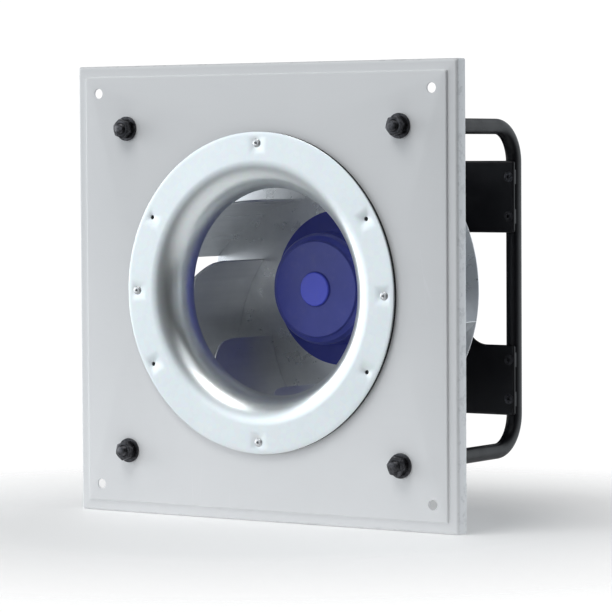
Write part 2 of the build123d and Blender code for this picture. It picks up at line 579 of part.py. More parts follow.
board = ring(71.5, 34.0, BD0, BD0 + 1.6)
for k in range(3):
    a = radians(90 + 120 * k)
    board = board - disc(1.6, BD0 - 1, BD0 + 3, 66.0 * cos(a), 66.0 * sin(a))
put("circuit_board", board)
bs = []
for k in range(3):
    a = radians(90 + 120 * k)
    x, z = 66.0 * cos(a), 66.0 * sin(a)
    bs.append(disc(1.25, BD0 - 6, BD0 + 2.0, x, z) + disc(2.8, BD0 + 1.6, BD0 + 3.6, x, z) - box(x - 2, x + 2, BD0 + 2.6, BD0 + 5, z - 0.4, z + 0.4))
put("board_screws", bs)
caps = []
for x, z, r, hh in ((-38, 32, 9.0, 20.0), (-50, 8, 9.0, 20.0), (-28, 50, 6.5, 16.0)):
    c = disc(r, BD0 + 1.6, BD0 + 1.6 + hh, x, z)
    caps.append(fillet(c.edges().filter_by(GeomType.CIRCLE), 1.0))
put("board_capacitors", caps)
put("board_power_module", [box(35, 61, BD0 + 1.6, BD0 + 8.0, -14, 24), box(-2, 22, BD0 + 1.6, BD0 + 14.0, 42, 60)])
tb = box(-26, 26, BD0 + 1.6, BD0 + 17.0, -54, -38)
for i in range(6):
    x = -21.5 + 8.6 * i
    tb = tb - disc(2.4, BD0 + 9.0, BD0 + 20, x, -43.0) - box(x - 2.4, x + 2.4, BD0 + 5.0, BD0 + 10.5, -55, -47)
put("terminal_block", tb)
put("terminal_screws", [disc(2.3, BD0 + 10.0, BD0 + 15.0, -21.5 + 8.6 * i, -43.0) - box(-21.5 + 8.6 * i - 2.0, -21.5 + 8.6 * i + 2.0, BD0 + 14.0, BD0 + 16, -43.4, -42.6) for i in range(6)])

# rear cover over the wiring space, through the hole in the motor plate
cg = ring(62.0, 53.5, HB_, HB_ + 1.5)
CV0 = HB_ + 1.5
cov = lathe([(0, CV0 + 17.0), (34.0, CV0 + 17.0), (44.0, CV0 + 15.6), (50.5, CV0 + 12.5), (53.0, CV0 + 8.0), (53.8, CV0 + 3.2), (62.5, CV0 + 3.2), (63.5, CV0 + 2.4), (63.5, CV0),
             (51.5, CV0), (51.0, CV0 + 7.5), (48.5, CV0 + 11.2), (43.2, CV0 + 13.2), (34.0, CV0 + 14.4), (0, CV0 + 14.4)])
for k in range(6):
    rb = Rot(0, -60.0 * k, 0) * (box(8, 42, CV0 + 15.0, CV0 + 18.2, -1.3, 1.3))
    cov = cov + rb
cs = []
for k in range(4):
    a = radians(90 * k)
    x, z = 58.0 * cos(a), 58.0 * sin(a)
    cov = cov - disc(2.0, CV0 - 2, CV0 + 6, x, z)
    cg = cg - disc(2.0, HB_ - 2, HB_ + 4, x, z)
    y = CV0 + 3.2
    s = disc(1.7, HB_ - 5.0, y + 0.4, x, z) + (Pos(x, 0, z) * lathe([(0, y), (3.6, y), (3.6, y + 0.9), (2.9, y + 1.9), (1.4, y + 2.3), (0, y + 2.3)]))
    s = s - box(x - 2.0, x + 2.0, y + 1.2, y + 4, z - 0.45, z + 0.45) - box(x - 0.45, x + 0.45, y + 1.2, y + 4, z - 2.0, z + 2.0)
    cs.append(s)
put("cover_gasket", cg)
put("rear_cover", cov)
put("cover_screws", cs)

mbs, mbw = [], []
for k in range(4):
    a = radians(45 + 90 * k)
    x, z = MB_R * cos(a), MB_R * sin(a)
    y = MP_Y + MP_T
    mbw.append(ring(8.0, 4.3, y, y + 1.6, x, z))
    mbs.append(disc(3.4, HB_ - 11.0, y + 2.0, x, z) + hex_y(11.0, y + 1.6, y + 7.0, x, z, 8 + 21 * k, False, True))
put("motor_washers", mbw)
put("motor_bolts", mbs)

# cable glands under the housing: body, seal and cap nut; the openings stay empty
def hex_z(af, z0, z1, x, y, turn=0.0):
    return Pos(x, y, z0) * (Rot(0, 0, turn) * extrude(RegularPolygon(af / 2, 6, major_radius=False), z1 - z0))


gb, gn, gs = [], [], []
for i, x in enumerate(GL_X):
    body = Pos(x, GL_Y, -83.0) * Cylinder(8.0, 22.0)                       # thread through the wall, z -94 .. -72
    body = body + hex_z(20.0, -93.5, -88.0, x, GL_Y, 10 + 30 * i)
    body = body + Pos(x, GL_Y, -97.0) * Cylinder(8.4, 8.0)                # seat for the cap nut
    body = body - Pos(x, GL_Y, -87.0) * Cylinder(5.2, 60.0)
    gb.append(body)
    cap = hex_z(20.0, -104.0, -94.6, x, GL_Y, 22 + 17 * i) & (Pos(x, GL_Y, -99) * Cylinder(10.9, 14))
    dome = Pos(x, GL_Y, -106.5) * Cone(6.4, 9.6, 5.0)
    cap = cap + dome - Pos(x, GL_Y, -98.0) * Cylinder(8.45, 7.0) - Pos(x, GL_Y, -105.0) * Cylinder(5.0, 30.0)
    gn.append(cap)
    gs.append(Pos(x, GL_Y, -97.0) * (Cylinder(5.15, 7.6) - Cylinder(3.4, 20)))
put("cable_glands", gb)
put("gland_nuts", gn)
put("gland_seals", gs)

# ---------------------------------------------------------------- export
for name, shape in NODES.items():
    shape.label = name
    export_step(shape, "parts/%s.step" % name)
    bb = shape.bounding_box()
    print("%-28s solids %2d  vol %10.0f  %s %s" % (name, len(shape.solids()), sum(s.volume for s in shape.solids()),
          tuple(round(v, 1) for v in bb.min), tuple(round(v, 1) for v in bb.max)))
print(len(NODES), "nodes")
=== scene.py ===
import bpy, bmesh, math, json
from mathutils import Vector, Matrix


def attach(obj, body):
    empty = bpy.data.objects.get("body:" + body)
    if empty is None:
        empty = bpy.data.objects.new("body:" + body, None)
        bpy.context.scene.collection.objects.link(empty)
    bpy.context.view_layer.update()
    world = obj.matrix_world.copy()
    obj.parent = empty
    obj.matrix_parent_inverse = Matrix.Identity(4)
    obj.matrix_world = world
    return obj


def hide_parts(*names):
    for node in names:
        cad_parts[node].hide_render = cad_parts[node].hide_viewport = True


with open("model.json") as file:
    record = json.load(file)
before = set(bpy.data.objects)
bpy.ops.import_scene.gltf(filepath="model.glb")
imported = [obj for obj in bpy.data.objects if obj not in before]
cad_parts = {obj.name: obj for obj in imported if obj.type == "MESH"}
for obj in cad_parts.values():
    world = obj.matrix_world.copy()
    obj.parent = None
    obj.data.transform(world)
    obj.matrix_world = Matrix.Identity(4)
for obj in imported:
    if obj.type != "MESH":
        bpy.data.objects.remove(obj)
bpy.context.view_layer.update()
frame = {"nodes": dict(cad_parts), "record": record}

N = frame["nodes"]
COL = bpy.context.scene.collection
MM = 0.001
pi = math.pi


def rad(a):
    return math.radians(a)


# ------------------------------------------------------------------ camera
AZ, EL, ROLL = rad(33.963), rad(2.676), rad(-0.319)
back = Vector((math.sin(AZ) * math.cos(EL), -math.cos(AZ) * math.cos(EL), math.sin(EL)))
right = Vector((math.cos(AZ), math.sin(AZ), 0))
up = back.cross(right)
r0 = right * math.cos(ROLL) + up * math.sin(ROLL)
r1 = -right * math.sin(ROLL) + up * math.cos(ROLL)
t = Vector((49.719, -14.255, 3532.924)) * MM
cam_data = bpy.data.cameras.new("camera")
cam = bpy.data.objects.new("camera", cam_data)
COL.objects.link(cam)
rot = Matrix((r0, r1, back)).transposed()
cam.location = rot @ t
cam.rotation_mode = "QUATERNION"
cam.rotation_quaternion = rot.to_quaternion()
cam_data.sensor_width = 36.0
cam_data.lens = 36.0 * 3246.85 / 612.0
cam_data.clip_start, cam_data.clip_end = 0.05, 60.0
bpy.context.scene.camera = cam


# ------------------------------------------------------------------ light levels
FLOOR_GLOW = 0.20
ENV_BASE = 0.01
ENV = [                      # (azimuth, elevation, full inside, zero outside, level), angles in degrees
    (-66.0, 5.0, 6.0, 40.0, 0.80),
    (-34.0, 0.0, 6.0, 40.0, 0.62),
    (-34.0, 32.0, 6.0, 40.0, 0.62),
    (0.0, 4.0, 6.0, 40.0, 0.12),
    (84.0, 5.0, 6.0, 30.0, 0.26),
    (118.0, 6.0, 8.0, 36.0, 0.9),
    (155.0, 5.0, 20.0, 60.0, 1.1),
]
LIGHTS = [
    ("top_front", -12.0, 60.0, 2.8, (1.6, 1.2), 25.0, (1.0, 0.995, 0.985)),
    ("left_side", -80.0, 6.0, 2.4, (1.4, 1.6), 20.0, (0.97, 0.99, 1.0)),
    ("right_fill", 30.0, 46.0, 2.8, (1.6, 1.2), 6.0, (0.95, 0.98, 1.0)),
]

# ------------------------------------------------------------------ node material helpers
class Mat:
    """Small builder for one procedural material."""

    def __init__(self, name):
        self.m = bpy.data.materials.new(name)
        self.m.use_nodes = True
        self.t = self.m.node_tree
        self.t.nodes.clear()
        self.out = self.t.nodes.new("ShaderNodeOutputMaterial")
        self.b = self.t.nodes.new("ShaderNodeBsdfPrincipled")
        self.t.links.new(self.b.outputs[0], self.out.inputs[0])
        self.co = self.t.nodes.new("ShaderNodeTexCoord").outputs["Object"]

    def node(self, kind, **kw):
        n = self.t.nodes.new(kind)
        for k, v in kw.items():
            setattr(n, k, v)
        return n

    def put(self, sock, v):
        if hasattr(v, "is_linked") or hasattr(v, "links"):
            self.t.links.new(v, sock)
        else:
            sock.default_value = v

    def scaled(self, s, rot=(0, 0, 0), loc=(0, 0, 0)):
        n = self.node("ShaderNodeMapping")
        self.t.links.new(self.co, n.inputs["Vector"])
        n.inputs["Scale"].default_value = s if hasattr(s, "__len__") else (s, s, s)
        n.inputs["Rotation"].default_value = rot
        n.inputs["Location"].default_value = loc
        return n.outputs[0]

    def noise(self, scale, detail=4.0, rough=0.55, vec=None, distortion=0.0):
        n = self.node("ShaderNodeTexNoise")
        self.put(n.inputs["Vector"], vec if vec is not None else self.co)
        n.inputs["Scale"].default_value = scale
        n.inputs["Detail"].default_value = detail
        n.inputs["Roughness"].default_value = rough
        n.inputs["Distortion"].default_value = distortion
        return n.outputs["Fac"]

    def voronoi(self, scale, feature="F1", vec=None, out="Distance", randomness=1.0):
        n = self.node("ShaderNodeTexVoronoi", feature=feature)
        self.put(n.inputs["Vector"], vec if vec is not None else self.co)
        n.inputs["Scale"].default_value = scale
        n.inputs["Randomness"].default_value = randomness
        return n.outputs[out]

    def ramp(self, fac, stops, interp="LINEAR"):
        n = self.node("ShaderNodeValToRGB")
        n.color_ramp.interpolation = interp
        e = n.color_ramp.elements
        while len(e) < len(stops):
            e.new(0.5)
        for el, (p, c) in zip(e, stops):
            el.position = p
            el.color = c if hasattr(c, "__len__") and len(c) == 4 else ((*c, 1) if hasattr(c, "__len__") else (c, c, c, 1))
        self.t.links.new(fac, n.inputs[0])
        return n.outputs["Color"]

    def mix(self, fac, a, b, mode="MIX"):
        n = self.node("ShaderNodeMix", data_type="RGBA", blend_type=mode)
        self.put(n.inputs[0], fac)
        for s, v in ((n.inputs[6], a), (n.inputs[7], b)):
            if isinstance(v, (int, float)):
                v = (v, v, v, 1)
            elif isinstance(v, tuple) and len(v) == 3:
                v = (*v, 1)
            self.put(s, v)
        return n.outputs[2]

    def math(self, op, a, b=0.0, c=None, clamp=False):
        n = self.node("ShaderNodeMath", operation=op, use_clamp=clamp)
        self.put(n.inputs[0], a)
        self.put(n.inputs[1], b)
        if c is not None:
            self.put(n.inputs[2], c)
        return n.outputs[0]

    def range(self, v, a, b, c=0.0, d=1.0):
        n = self.node("ShaderNodeMapRange")
        self.put(n.inputs[0], v)
        for i, x in enumerate((a, b, c, d)):
            n.inputs[i + 1].default_value = x
        return n.outputs[0]

    def xyz(self):
        n = self.node("ShaderNodeSeparateXYZ")
        self.t.links.new(self.co, n.inputs[0])
        return n.outputs

    def radius(self):
        """Distance from the fan axis, in metres."""
        x, y, z = self.xyz()
        return self.math("SQRT", self.math("ADD", self.math("MULTIPLY", x, x), self.math("MULTIPLY", z, z)))

    def angle(self):
        x, y, z = self.xyz()
        return self.math("ARCTAN2", z, x)

    def bump(self, *layers):
        """layers: (height socket, strength, distance in metres)."""
        prev = None
        for hgt, strength, dist in layers:
            n = self.node("ShaderNodeBump")
            n.inputs["Strength"].default_value = strength
            n.inputs["Distance"].default_value = dist
            self.t.links.new(hgt, n.inputs["Height"])
            if prev is not None:
                self.t.links.new(prev, n.inputs["Normal"])
            prev = n.outputs[0]
        self.t.links.new(prev, self.b.inputs["Normal"])
        return self

    def set(self, **kw):
        names = {"color": "Base Color", "rough": "Roughness", "metal": "Metallic", "coat": "Coat Weight", "coat_rough": "Coat Roughness",
                 "ior": "IOR", "spec": "Specular IOR Level", "aniso": "Anisotropic", "sheen": "Sheen Weight"}
        for k, v in kw.items():
            s = self.b.inputs[names[k]]
            if isinstance(v, tuple) and len(v) == 3:
                v = (*v, 1)
            self.put(s, v)
        return self


# ------------------------------------------------------------------ materials
def m_panel():
    """Light grey coated sheet: faint cloudiness, fine orange peel, a few rub marks and worn edges."""
    m = Mat("panel_paint")
    cloud = m.noise(5.0, 3.0, 0.5)
    base = m.ramp(cloud, [(0.3, (0.805, 0.812, 0.822)), (0.7, (0.835, 0.840, 0.850))])
    grain = m.noise(420.0, 3.0, 0.6)
    base = m.mix(m.range(grain, 0.3, 0.8, 0.0, 0.07), base, (0.70, 0.71, 0.73))
    streak = m.noise(14.0, 5.0, 0.65, vec=m.scaled((1.0, 1.0, 9.0)))
    base = m.mix(m.range(streak, 0.56, 0.80, 0.0, 0.10), base, (0.68, 0.70, 0.74))
    scr = m.voronoi(26.0, "DISTANCE_TO_EDGE", vec=m.scaled((1.0, 1.0, 0.16), rot=(0.0, 0.5, 0.0)))
    keep = m.range(m.noise(7.0, 2.0), 0.60, 0.66)
    line = m.math("MULTIPLY", m.math("LESS_THAN", scr, 0.006), keep)
    base = m.mix(m.math("MULTIPLY", line, 0.35), base, (0.9, 0.9, 0.92))
    x, y, z = m.xyz()
    ax, az = m.math("ABSOLUTE", x), m.math("ABSOLUTE", z)
    edge = m.range(m.math("MAXIMUM", ax, az), 0.2475, 0.2502)
    wear = m.math("MULTIPLY", edge, m.range(m.noise(90.0, 4.0, 0.7), 0.52, 0.62))
    base = m.mix(m.math("MULTIPLY", wear, 0.55), base, (0.55, 0.56, 0.57))
    m.set(color=base, rough=m.range(m.noise(60.0, 4.0), 0.3, 0.7, 0.38, 0.50), metal=0.0, spec=0.45)
    m.bump((m.noise(900.0, 2.0, 0.5), 0.10, 0.0004), (m.noise(9.0, 2.0, 0.4), 0.12, 0.004))
    return m.m


def m_nozzle():
    """Spun sheet metal with a thin pale coat: faint turning rings and soft zinc bloom."""
    m = Mat("nozzle_paint")
    cloud = m.noise(11.0, 4.0, 0.55)
    base = m.ramp(cloud, [(0.3, (0.80, 0.845, 0.855)), (0.7, (0.84, 0.88, 0.89))])
    sp = m.voronoi(190.0, "F1", out="Color")
    base = m.mix(0.03, base, sp)
    r = m.radius()
    rings = m.noise(1.0, 3.0, 0.6, vec=m.combine_r(r, 900.0))
    m.set(color=base, rough=m.range(rings, 0.3, 0.7, 0.27, 0.34), metal=0.9, spec=0.5)
    m.bump((rings, 0.10, 0.0003), (m.noise(700.0, 2.0), 0.06, 0.0003))
    return m.m


def combine_r(self, r, scale, other=0.0):
    n = self.node("ShaderNodeCombineXYZ")
    self.put(n.inputs[0], self.math("MULTIPLY", r, scale))
    self.put(n.inputs[1], other)
    return n.outputs[0]


Mat.combine_r = combine_r


def m_black_coat(name, rough=(0.30, 0.42), tint=(0.004, 0.004, 0.006)):
    """Black powder coat: fine orange peel, slight dust and rubbed spots."""
    m = Mat(name)
    dust = m.noise(24.0, 5.0, 0.65)
    base = m.mix(m.range(dust, 0.50, 0.75, 0.0, 0.25), tint, (0.020, 0.021, 0.025))
    spots = m.voronoi(330.0, "F1")
    base = m.mix(m.math("MULTIPLY", m.math("LESS_THAN", spots, 0.10), m.range(m.noise(40.0, 2.0), 0.55, 0.62, 0.0, 0.5)), base, (0.06, 0.06, 0.065))
    m.set(color=base, rough=m.range(m.noise(55.0, 4.0), 0.3, 0.7, rough[0], rough[1]), spec=0.32)
    m.bump((m.noise(1100.0, 2.0, 0.5), 0.16, 0.0003), (m.noise(120.0, 2.0, 0.5), 0.08, 0.0006))
    return m.m


def m_hardware(name, dark=(0.030, 0.030, 0.033), light=(0.11, 0.11, 0.12), rough=(0.24, 0.42), metal=0.85):
    """Oxide or zinc finish on fasteners: patchy colour, fine tool marks."""
    m = Mat(name)
    n1 = m.noise(210.0, 5.0, 0.65)
    base = m.ramp(n1, [(0.38, dark), (0.72, light)])
    m.set(color=base, rough=m.range(m.noise(420.0, 3.0), 0.3, 0.7, rough[0], rough[1]), metal=metal)
    m.bump((m.noise(1600.0, 3.0, 0.6), 0.18, 0.0002), (m.noise(260.0, 2.0), 0.10, 0.0004))
    return m.m


def m_impeller():
    """Bare sheet aluminium, dulled: rolling streaks, handling marks, thin dust film."""
    m = Mat("impeller_metal")
    cloud = m.noise(16.0, 4.0, 0.6)
    base = m.ramp(cloud, [(0.3, (0.70, 0.72, 0.74)), (0.7, (0.80, 0.815, 0.83))])
    streak = m.noise(60.0, 5.0, 0.6, vec=m.scaled((1.0, 0.05, 1.0)))
    base = m.mix(m.range(streak, 0.45, 0.75, 0.0, 0.28), base, (0.54, 0.56, 0.59))
    rub = m.noise(34.0, 5.0, 0.7, distortion=0.6)
    base = m.mix(m.range(rub, 0.60, 0.78, 0.0, 0.25), base, (0.86, 0.87, 0.86))
    m.set(color=base, rough=m.range(streak, 0.3, 0.7, 0.24, 0.38), metal=0.82)
    m.bump((streak, 0.12, 0.0003), (m.noise(900.0, 2.0), 0.08, 0.0002), (m.noise(30.0, 2.0), 0.10, 0.0015))
    return m.m


def m_rotor():
    """Blue enamel on the turned rotor: fine turning rings under the coat, light dust, softened gloss."""
    m = Mat("rotor_blue")
    r = m.radius()
    cloud = m.noise(22.0, 4.0, 0.6)
    base = m.ramp(cloud, [(0.3, (0.050, 0.064, 0.370)), (0.7, (0.066, 0.082, 0.440))])
    boss = m.range(r, 0.0185, 0.0195, 1.0, 0.0)
    base = m.mix(boss, base, (0.095, 0.120, 0.82))
    dust = m.noise(70.0, 5.0, 0.7)
    base = m.mix(m.range(dust, 0.52, 0.78, 0.0, 0.14), base, (0.20, 0.21, 0.45))
    rings = m.noise(1.0, 3.0, 0.6, vec=m.combine_r(r, 1500.0))
    m.set(color=base, rough=m.range(m.noise(46.0, 3.0), 0.3, 0.7, 0.28, 0.40), metal=0.0, spec=0.45, coat=0.10, coat_rough=0.18)
    m.bump((rings, 0.10, 0.0002), (m.noise(800.0, 2.0), 0.08, 0.0002))
    return m.m


def m_cast():
    m = Mat("cast_aluminium")
    c = m.noise(38.0, 5.0, 0.6)
    base = m.ramp(c, [(0.3, (0.42, 0.43, 0.44)), (0.7, (0.54, 0.55, 0.56))])
    pore = m.voronoi(520.0, "F1")
    base = m.mix(m.range(pore, 0.0, 0.12, 0.5, 0.0), base, (0.20, 0.20, 0.21))
    m.set(color=base, rough=m.range(m.noise(300.0, 4.0), 0.3, 0.7, 0.46, 0.62), metal=0.75)
    m.bump((m.noise(650.0, 4.0, 0.65), 0.30, 0.0005), (m.noise(60.0, 2.0), 0.10, 0.001))
    return m.m


def m_plastic(name, a=(0.016, 0.016, 0.018), b=(0.030, 0.030, 0.033), rough=(0.42, 0.55)):
    """Moulded plastic with a spark-eroded grain."""
    m = Mat(name)
    base = m.ramp(m.noise(30.0, 4.0, 0.6), [(0.3, a), (0.7, b)])
    m.set(color=base, rough=m.range(m.noise(90.0, 3.0), 0.3, 0.7, rough[0], rough[1]), spec=0.45)
    m.bump((m.voronoi(1500.0, "SMOOTH_F1"), 0.22, 0.0003), (m.noise(900.0, 3.0), 0.12, 0.0002))
    return m.m


def m_rubber():
    """Closed-cell seal rubber: open pores and matt skin."""
    m = Mat("gasket_rubber")
    base = m.ramp(m.noise(180.0, 4.0, 0.6), [(0.3, (0.020, 0.021, 0.024)), (0.7, (0.045, 0.047, 0.052))])
    m.set(color=base, rough=m.range(m.noise(400.0, 3.0), 0.3, 0.7, 0.75, 0.92), spec=0.3)
    m.bump((m.voronoi(900.0, "F1"), 0.5, 0.0004))
    return m.m


def m_copper():
    m = Mat("copper")
    w = m.node("ShaderNodeTexWave", wave_type="BANDS", bands_direction="X")
    m.put(w.inputs["Vector"], m.co)
    w.inputs["Scale"].default_value = 420.0
    w.inputs["Distortion"].default_value = 1.0
    base = m.ramp(w.outputs["Fac"], [(0.2, (0.30, 0.09, 0.03)), (0.8, (0.62, 0.24, 0.10))])
    m.set(color=base, rough=m.range(m.noise(200.0), 0.3, 0.7, 0.28, 0.4), metal=0.8)
    m.bump((w.outputs["Fac"], 0.6, 0.0005))
    return m.m


def m_core():
    m = Mat("core_steel")
    w = m.node("ShaderNodeTexWave", wave_type="BANDS", bands_direction="Y")
    m.put(w.inputs["Vector"], m.co)
    w.inputs["Scale"].default_value = 640.0
    base = m.ramp(w.outputs["Fac"], [(0.3, (0.10, 0.10, 0.11)), (0.6, (0.30, 0.30, 0.32))])
    m.set(color=base, rough=m.range(m.noise(150.0), 0.3, 0.7, 0.35, 0.5), metal=0.8)
    m.bump((w.outputs["Fac"], 0.4, 0.0003))
    return m.m


def m_metal(name, a, b, rough, metal=1.0, scale=160.0):
    m = Mat(name)
    base = m.ramp(m.noise(scale, 4.0, 0.6), [(0.3, a), (0.7, b)])
    m.set(color=base, rough=m.range(m.noise(scale * 2.0, 3.0), 0.3, 0.7, rough[0], rough[1]), metal=metal)
    m.bump((m.noise(1300.0, 3.0, 0.6), 0.14, 0.0002))
    return m.m


def m_board():
    m = Mat("board_green")
    tr = m.voronoi(260.0, "DISTANCE_TO_EDGE", randomness=0.4)
    base = m.ramp(tr, [(0.04, (0.10, 0.36, 0.16)), (0.10, (0.012, 0.12, 0.045))])
    m.set(color=base, rough=m.range(m.noise(120.0), 0.3, 0.7, 0.25, 0.4), spec=0.5)
    m.bump((tr, 0.3, 0.0002))
    return m.m


M = {
    "panel_paint": m_panel(), "nozzle_paint": m_nozzle(), "gasket_rubber": m_rubber(),
    "rivet_metal": m_metal("rivet_metal", (0.55, 0.56, 0.57), (0.72, 0.73, 0.74), (0.34, 0.46), 0.85, 300.0),
    "bracket_black": m_black_coat("bracket_black"),
    "black_hardware": m_hardware("black_hardware"),
    "zinc_hardware": m_hardware("zinc_hardware", (0.46, 0.46, 0.45), (0.68, 0.68, 0.66), (0.26, 0.4), 0.95),
    "impeller_metal": m_impeller(), "rotor_blue": m_rotor(),
    "magnet": m_metal("magnet", (0.06, 0.06, 0.065), (0.12, 0.12, 0.125), (0.45, 0.6), 0.4),
    "steel": m_metal("steel", (0.48, 0.48, 0.50), (0.62, 0.62, 0.64), (0.22, 0.34)),
    "bearing_steel": m_metal("bearing_steel", (0.66, 0.66, 0.68), (0.78, 0.78, 0.80), (0.10, 0.18)),
    "cage_brass": m_metal("cage_brass", (0.58, 0.42, 0.16), (0.72, 0.55, 0.26), (0.26, 0.36)),
    "core_steel": m_core(), "insulator": m_plastic("insulator", (0.66, 0.60, 0.44), (0.74, 0.69, 0.54), (0.4, 0.5)),
    "copper": m_copper(), "cast_aluminium": m_cast(), "board_green": m_board(),
    "black_plastic": m_plastic("black_plastic"), "terminal_plastic": m_plastic("terminal_plastic", (0.55, 0.56, 0.55), (0.63, 0.64, 0.62), (0.36, 0.46)),
}
SLOT_OF = {s["node"]: s["material_slot"] for s in frame["record"]["subparts"]}


# ------------------------------------------------------------------ mesh helpers (dimensions in millimetres)
def finish_mesh(name, bm, slot, body, replaces=(), sharp=32.0, merge=1e-6):
    if merge:
        bmesh.ops.remove_doubles(bm, verts=bm.verts, dist=merge)
    bmesh.ops.recalc_face_normals(bm, faces=bm.faces)
    me = bpy.data.meshes.new(name)
    bm.to_mesh(me)
    bm.free()
    return add_mesh(name, me, slot, body, replaces, sharp)


def add_mesh(name, me, slot, body, replaces=(), sharp=32.0):
    me.shade_smooth()
    me.set_sharp_from_angle(angle=rad(sharp))
    me.materials.clear()
    me.materials.append(M[slot])
    o = bpy.data.objects.new(name, me)
    COL.objects.link(o)
    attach(o, body)
    if replaces:
        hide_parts(*replaces)
    return o


def fillet2d(pts, radii, n=6):
    """Rounds the corners of a closed (r, y) outline. radii: one per corner, or one number."""
    out, k = [], len(pts)
    if not hasattr(radii, "__len__"):
        radii = [radii] * k
    for i in range(k):
        p, a, b = Vector(pts[i]), Vector(pts[i - 1]), Vector(pts[(i + 1) % k])
        r = radii[i]
        u, v = (a - p), (b - p)
        if r <= 0 or u.length < 1e-9 or v.length < 1e-9:
            out.append(tuple(p))
            continue
        u.normalize(), v.normalize()
        ang = math.acos(max(-1, min(1, u.dot(v))))
        if ang > pi - 1e-3 or ang < 1e-3:
            out.append(tuple(p))
            continue
        d = r / math.tan(ang / 2)
        c = p + (u + v).normalized() * (r / math.sin(ang / 2))
        s, e = p + u * d, p + v * d
        a0 = math.atan2(s.y - c.y, s.x - c.x)
        a1 = math.atan2(e.y - c.y, e.x - c.x)
        da = (a1 - a0 + pi) % (2 * pi) - pi
        for j in range(n + 1):
            q = a0 + da * j / n
            out.append((c.x + r * math.cos(q), c.y + r * math.sin(q)))
    return out


def lathe_into(bm, prof, seg=192, cx=0.0, cz=0.0, closed=True, phase=0.0):
    """Turns a closed (r, y) outline round the fan axis, or round a parallel axis through cx, cz."""
    rows = []
    for r, y in prof:
        if r < 1e-6:
            v = bm.verts.new((cx * MM, y * MM, cz * MM))
            rows.append([v] * seg)
        else:
            rows.append([bm.verts.new(((cx + r * math.cos(2 * pi * j / seg + phase)) * MM, y * MM, (cz + r * math.sin(2 * pi * j / seg + phase)) * MM)) for j in range(seg)])
    k = len(rows)
    for i in range(k if closed else k - 1):
        a, b = rows[i], rows[(i + 1) % k]
        for j in range(seg):
            q = [a[j], a[(j + 1) % seg], b[(j + 1) % seg], b[j]]
            u = []
            for v in q:
                if v not in u:
                    u.append(v)
            if len(u) >= 3:
                bm.faces.new(u)
    return rows


def bezier(p, n=24):
    out = []
    for i in range(n + 1):
        q, s = [tuple(v) for v in p], i / n
        while len(q) > 1:
            q = [((1 - s) * a[0] + s * b[0], (1 - s) * a[1] + s * b[1]) for a, b in zip(q, q[1:])]
        out.append(q[0])
    return out


def offset_line(curve, k):
    out, n = [], len(curve)
    for i, (r, y) in enumerate(curve):
        a, b = curve[max(i - 1, 0)], curve[min(i + 1, n - 1)]
        dr, dy = b[0] - a[0], b[1] - a[1]
        q = k / math.hypot(dr, dy)
        out.append((r - dy * q, y + dr * q))
    return out


def sheet_outline(curve, t, end=4):
    """Closed outline of a sheet of thickness t about a centre line, with half-round ends."""
    a, b = offset_line(curve, t / 2), offset_line(curve, -t / 2)
    out = list(a)

    def cap(c, p, q):
        c, p = Vector(c), Vector(p) - Vector(c)
        d = Vector(q) - Vector(c)
        s = 1 if (Vector(c) - Vector(curve[-2] if c == Vector(curve[-1]) else curve[1])).length > 0 else 1
        return [tuple(c + Matrix.Rotation(s * pi * j / (end + 1), 2) @ p) for j in range(1, end + 1)]

    # half circle from a's end to b's end, turning away from the sheet
    c = Vector(curve[-1])
    p = Vector(a[-1]) - c
    fwd = c - Vector(curve[-2])
    for j in range(1, end + 1):
        f = pi * j / (end + 1)
        out.append(tuple(c + p * math.cos(f) + fwd.normalized() * p.length * math.sin(f)))
    out += b[::-1]
    c = Vector(curve[0])
    p = Vector(b[0]) - c
    fwd = c - Vector(curve[1])
    for j in range(1, end + 1):
        f = pi * j / (end + 1)
        out.append(tuple(c + p * math.cos(f) + fwd.normalized() * p.length * math.sin(f)))
    return out


def circle_pts(cx, cz, r, n):
    return [(cx + r * math.cos(2 * pi * i / n), cz + r * math.sin(2 * pi * i / n)) for i in range(n)]


def loop_verts(bm, pts, y):
    return [bm.verts.new((x * MM, y * MM, z * MM)) for x, z in pts]


def loop_edges(bm, vs):
    return [bm.edges.get((vs[i], vs[(i + 1) % len(vs)])) or bm.edges.new((vs[i], vs[(i + 1) % len(vs)])) for i in range(len(vs))]


def fill(bm, loops, normal):
    """Flat triangulated face between loops of vertices."""
    es = []
    for l in loops:
        es += loop_edges(bm, l)
    return bmesh.ops.triangle_fill(bm, use_beauty=True, use_dissolve=False, edges=es, normal=normal)


def bridge(bm, a, b):
    n = len(a)
    for i in range(n):
        bm.faces.new((a[i], a[(i + 1) % n], b[(i + 1) % n], b[i]))


# ------------------------------------------------------------------ inlet panel
H, T, STEP, BORDER, DEPTH = 250.0, 2.0, 2.5, 12.0, 18.5
BEND = 3.5
HOLE_POS, HOLE_R, STUD_POS = 219.5, 5.5, 180.0


def square(half, rc, n=8):
    pts = []
    for qx, qz, a0 in ((1, 1, 0), (-1, 1, 90), (-1, -1, 180), (1, -1, 270)):
        for j in range(n + 1):
            a = rad(a0 + 90 * j / n)
            pts.append((qx * (half - rc) + rc * math.cos(a), qz * (half - rc) + rc * math.sin(a)))
    return pts


